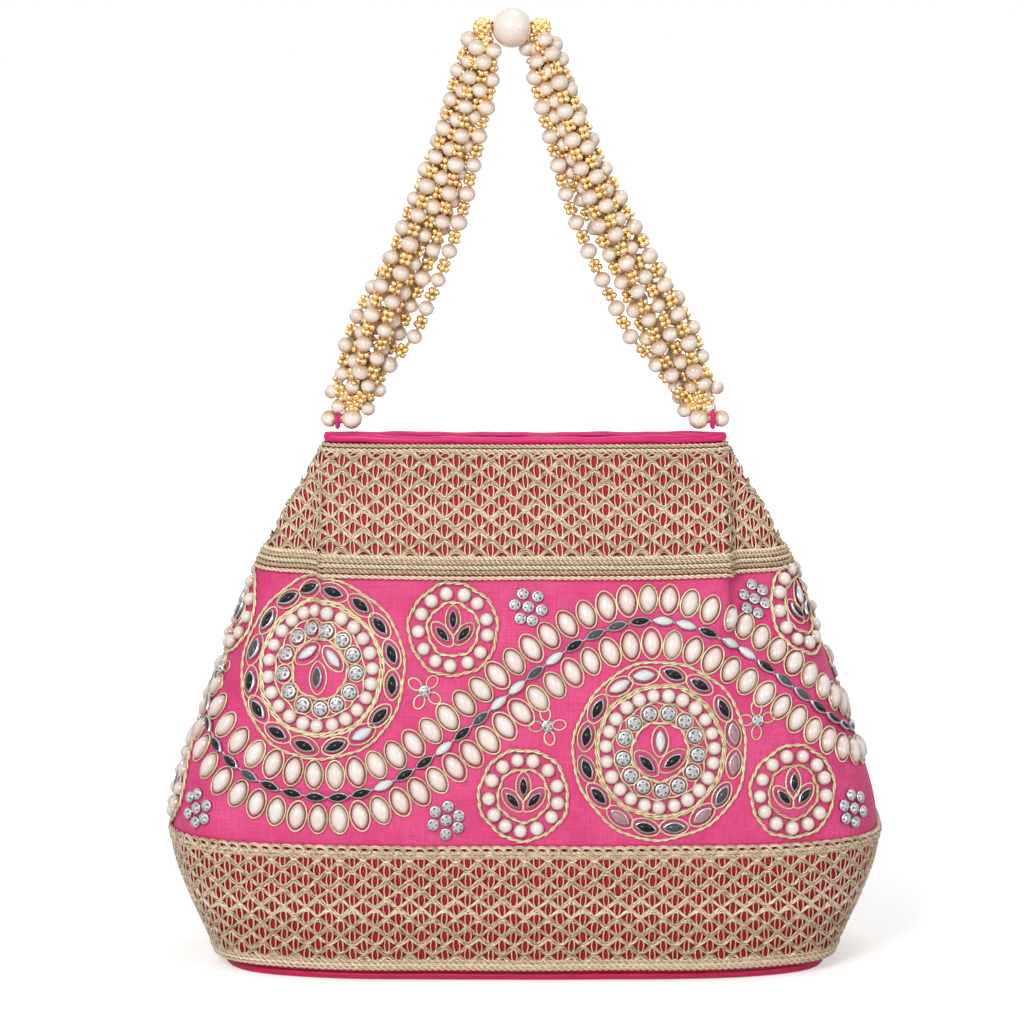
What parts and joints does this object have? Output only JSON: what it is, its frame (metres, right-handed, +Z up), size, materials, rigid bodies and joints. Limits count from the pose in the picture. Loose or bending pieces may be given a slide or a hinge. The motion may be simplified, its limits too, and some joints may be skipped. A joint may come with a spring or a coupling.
{
  "type": "potli bag",
  "caption": "Embroidered silk potli bag with gold lace bands, pearl and mirror work, a snap mouth and a swinging pearl-strand handle",
  "frame": {"origin": "Middle of the flat base, on the surface that the bag stands on", "axes": "+Z up, -Y out of the front face, +X to the right as the front is looked at"},
  "size_m": [0.2308, 0.0954, 0.3056],
  "materials": {
    "silk": "raw silk with a soft sheen over thin foam",
    "magenta_silk": "bright plain silk",
    "lining_cloth": "thin woven lining",
    "board": "grey stiffening board",
    "snap_steel": "plated steel",
    "gold_lace": "crocheted matt gold thread",
    "gold_thread": "twisted gold cord",
    "pearl": "cream imitation pearl",
    "strand_pearl": "cream imitation pearl strung with gold seed beads",
    "mirror": "silvered glass",
    "cut_stone": "foiled cut glass"
  },
  "bodies": {
    "bag": {"front_panel": "silk", "rear_panel": "silk", "base_panel": "magenta_silk", "binding_front": "magenta_silk", "binding_rear": "magenta_silk", "lining": "lining_cloth", "base_board": "board", "snap_front": "snap_steel", "snap_rear": "snap_steel", "upper_lace_front": "gold_lace", "upper_lace_rear": "gold_lace", "lower_lace_front": "gold_lace", "lower_lace_rear": "gold_lace", "eyelet_left": "gold_thread", "eyelet_right": "gold_thread", "large_medallion_crest_front": "gold_thread", "large_medallion_crest_rear": "gold_thread", "large_medallion_trough_front": "gold_thread", "large_medallion_trough_rear": "gold_thread", "pearl_row_upper_front": "pearl", "pearl_row_upper_rear": "pearl", "pearl_row_lower_front": "pearl", "pearl_row_lower_rear": "pearl", "small_medallion_upper_front": "pearl", "small_medallion_upper_rear": "pearl", "small_medallion_lower_front": "pearl", "small_medallion_lower_rear": "pearl", "small_medallion_corner_front": "pearl", "small_medallion_corner_rear": "pearl", "mirror_chain_front": "mirror", "mirror_chain_rear": "mirror", "stone_flower_top_front": "cut_stone", "stone_flower_top_rear": "cut_stone", "stone_flower_bottom_front": "cut_stone", "stone_flower_bottom_rear": "cut_stone", "stone_flower_right_front": "cut_stone", "stone_flower_right_rear": "cut_stone"},
    "handle": {"strand_left_1": "strand_pearl", "strand_left_2": "strand_pearl", "strand_left_3": "strand_pearl", "strand_left_4": "strand_pearl", "strand_right_1": "strand_pearl", "strand_right_2": "strand_pearl", "strand_right_3": "strand_pearl", "strand_right_4": "strand_pearl", "core_thread": "gold_thread", "end_knot_left": "gold_thread", "end_knot_right": "gold_thread"},
    "pearl": {"top_pearl": "pearl"}
  },
  "joints": [
    {"name": "handle_swing", "type": "hinge", "parent": "bag", "child": "handle", "pos_m": [0, 0, 0.175], "axis": [1, 0, 0], "range_deg": [-100, 100]},
    {"name": "pearl_spin", "type": "hinge", "parent": "handle", "child": "pearl", "pos_m": [-0.0042, 0, 0.2997], "axis": [1, 0, 0], "continuous": true}
  ]
}
